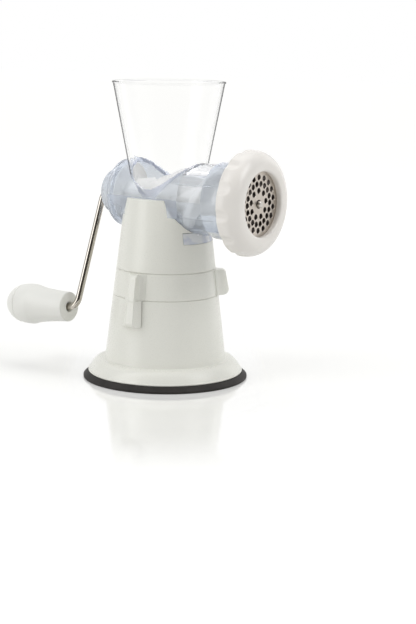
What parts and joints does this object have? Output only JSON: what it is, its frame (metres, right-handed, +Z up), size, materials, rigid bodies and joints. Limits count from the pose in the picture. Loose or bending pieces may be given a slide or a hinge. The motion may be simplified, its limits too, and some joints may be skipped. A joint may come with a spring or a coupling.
{
  "type": "hand crank meat grinder",
  "caption": "Tabletop meat grinder with a conical suction stand, clear barrel and funnel hopper, hole plate behind a lobed ring nut, and a bent-rod crank.",
  "frame": {"origin": "centre of the rubber foot's underside, on the worktop", "axes": "+Z up, +X along the barrel towards the hole plate, +Y to the left of the outlet"},
  "size_m": [0.2564, 0.15, 0.2682],
  "materials": {
    "white_plastic": "gloss",
    "clear_plastic": "clear gloss",
    "worm_plastic": "satin",
    "steel": "brushed",
    "polished_steel": "polished",
    "rubber": "satin"
  },
  "bodies": {
    "stand": {"suction_foot": "rubber", "lower_housing": "white_plastic", "guide_column": "white_plastic", "upper_housing": "white_plastic", "tie_screws": "steel", "barrel": "clear_plastic", "hopper": "clear_plastic", "plate_key": "steel", "rear_bush": "worm_plastic"},
    "ring": {"lock_ring": "white_plastic"},
    "stem": {"pull_plate": "steel", "pull_stem": "white_plastic", "cross_pin": "steel"},
    "crank": {"worm": "worm_plastic", "worm_pin": "steel", "knife": "steel", "thrust_washer": "steel", "crank_rod": "polished_steel", "drive_hex": "steel", "crank_clip": "steel", "grip_washer": "steel"},
    "handle": {"grip": "white_plastic", "grip_cap": "white_plastic"},
    "plate": {"hole_plate": "steel"},
    "nut": {"ring_nut": "white_plastic"}
  },
  "joints": [
    {"name": "crank_turn", "type": "hinge", "parent": "stand", "child": "crank", "pos_m": [0, 0, 0.166], "axis": [1, 0, 0], "continuous": true},
    {"name": "grip_spin", "type": "hinge", "parent": "crank", "child": "handle", "pos_m": [-0.08054, -0.04049, 0.06052], "axis": [0.9987, 0.0181, 0.0472], "continuous": true},
    {"name": "ring_turn", "type": "hinge", "parent": "stand", "child": "ring", "pos_m": [0, 0, 0.089], "axis": [0, 0, 1], "range_deg": [0, 60]},
    {"name": "foot_lift", "type": "slide", "parent": "stand", "child": "stem", "axis": [0, 0, 1], "range_m": [0, 0.005], "deforming": ["suction_foot"]},
    {"name": "nut_advance", "type": "slide", "parent": "stand", "child": "plate", "axis": [1, 0, 0], "range_m": [0, 0.00133]},
    {"name": "nut_turn", "type": "hinge", "parent": "plate", "child": "nut", "pos_m": [0.095, 0, 0.166], "axis": [1, 0, 0], "range_deg": [0, 120]}
  ],
  "couplings": [
    {"joint": "foot_lift", "follows": "ring_turn", "m_per_rad": 0.0047746},
    {"joint": "nut_advance", "follows": "nut_turn", "m_per_rad": 0.0006366}
  ]
}
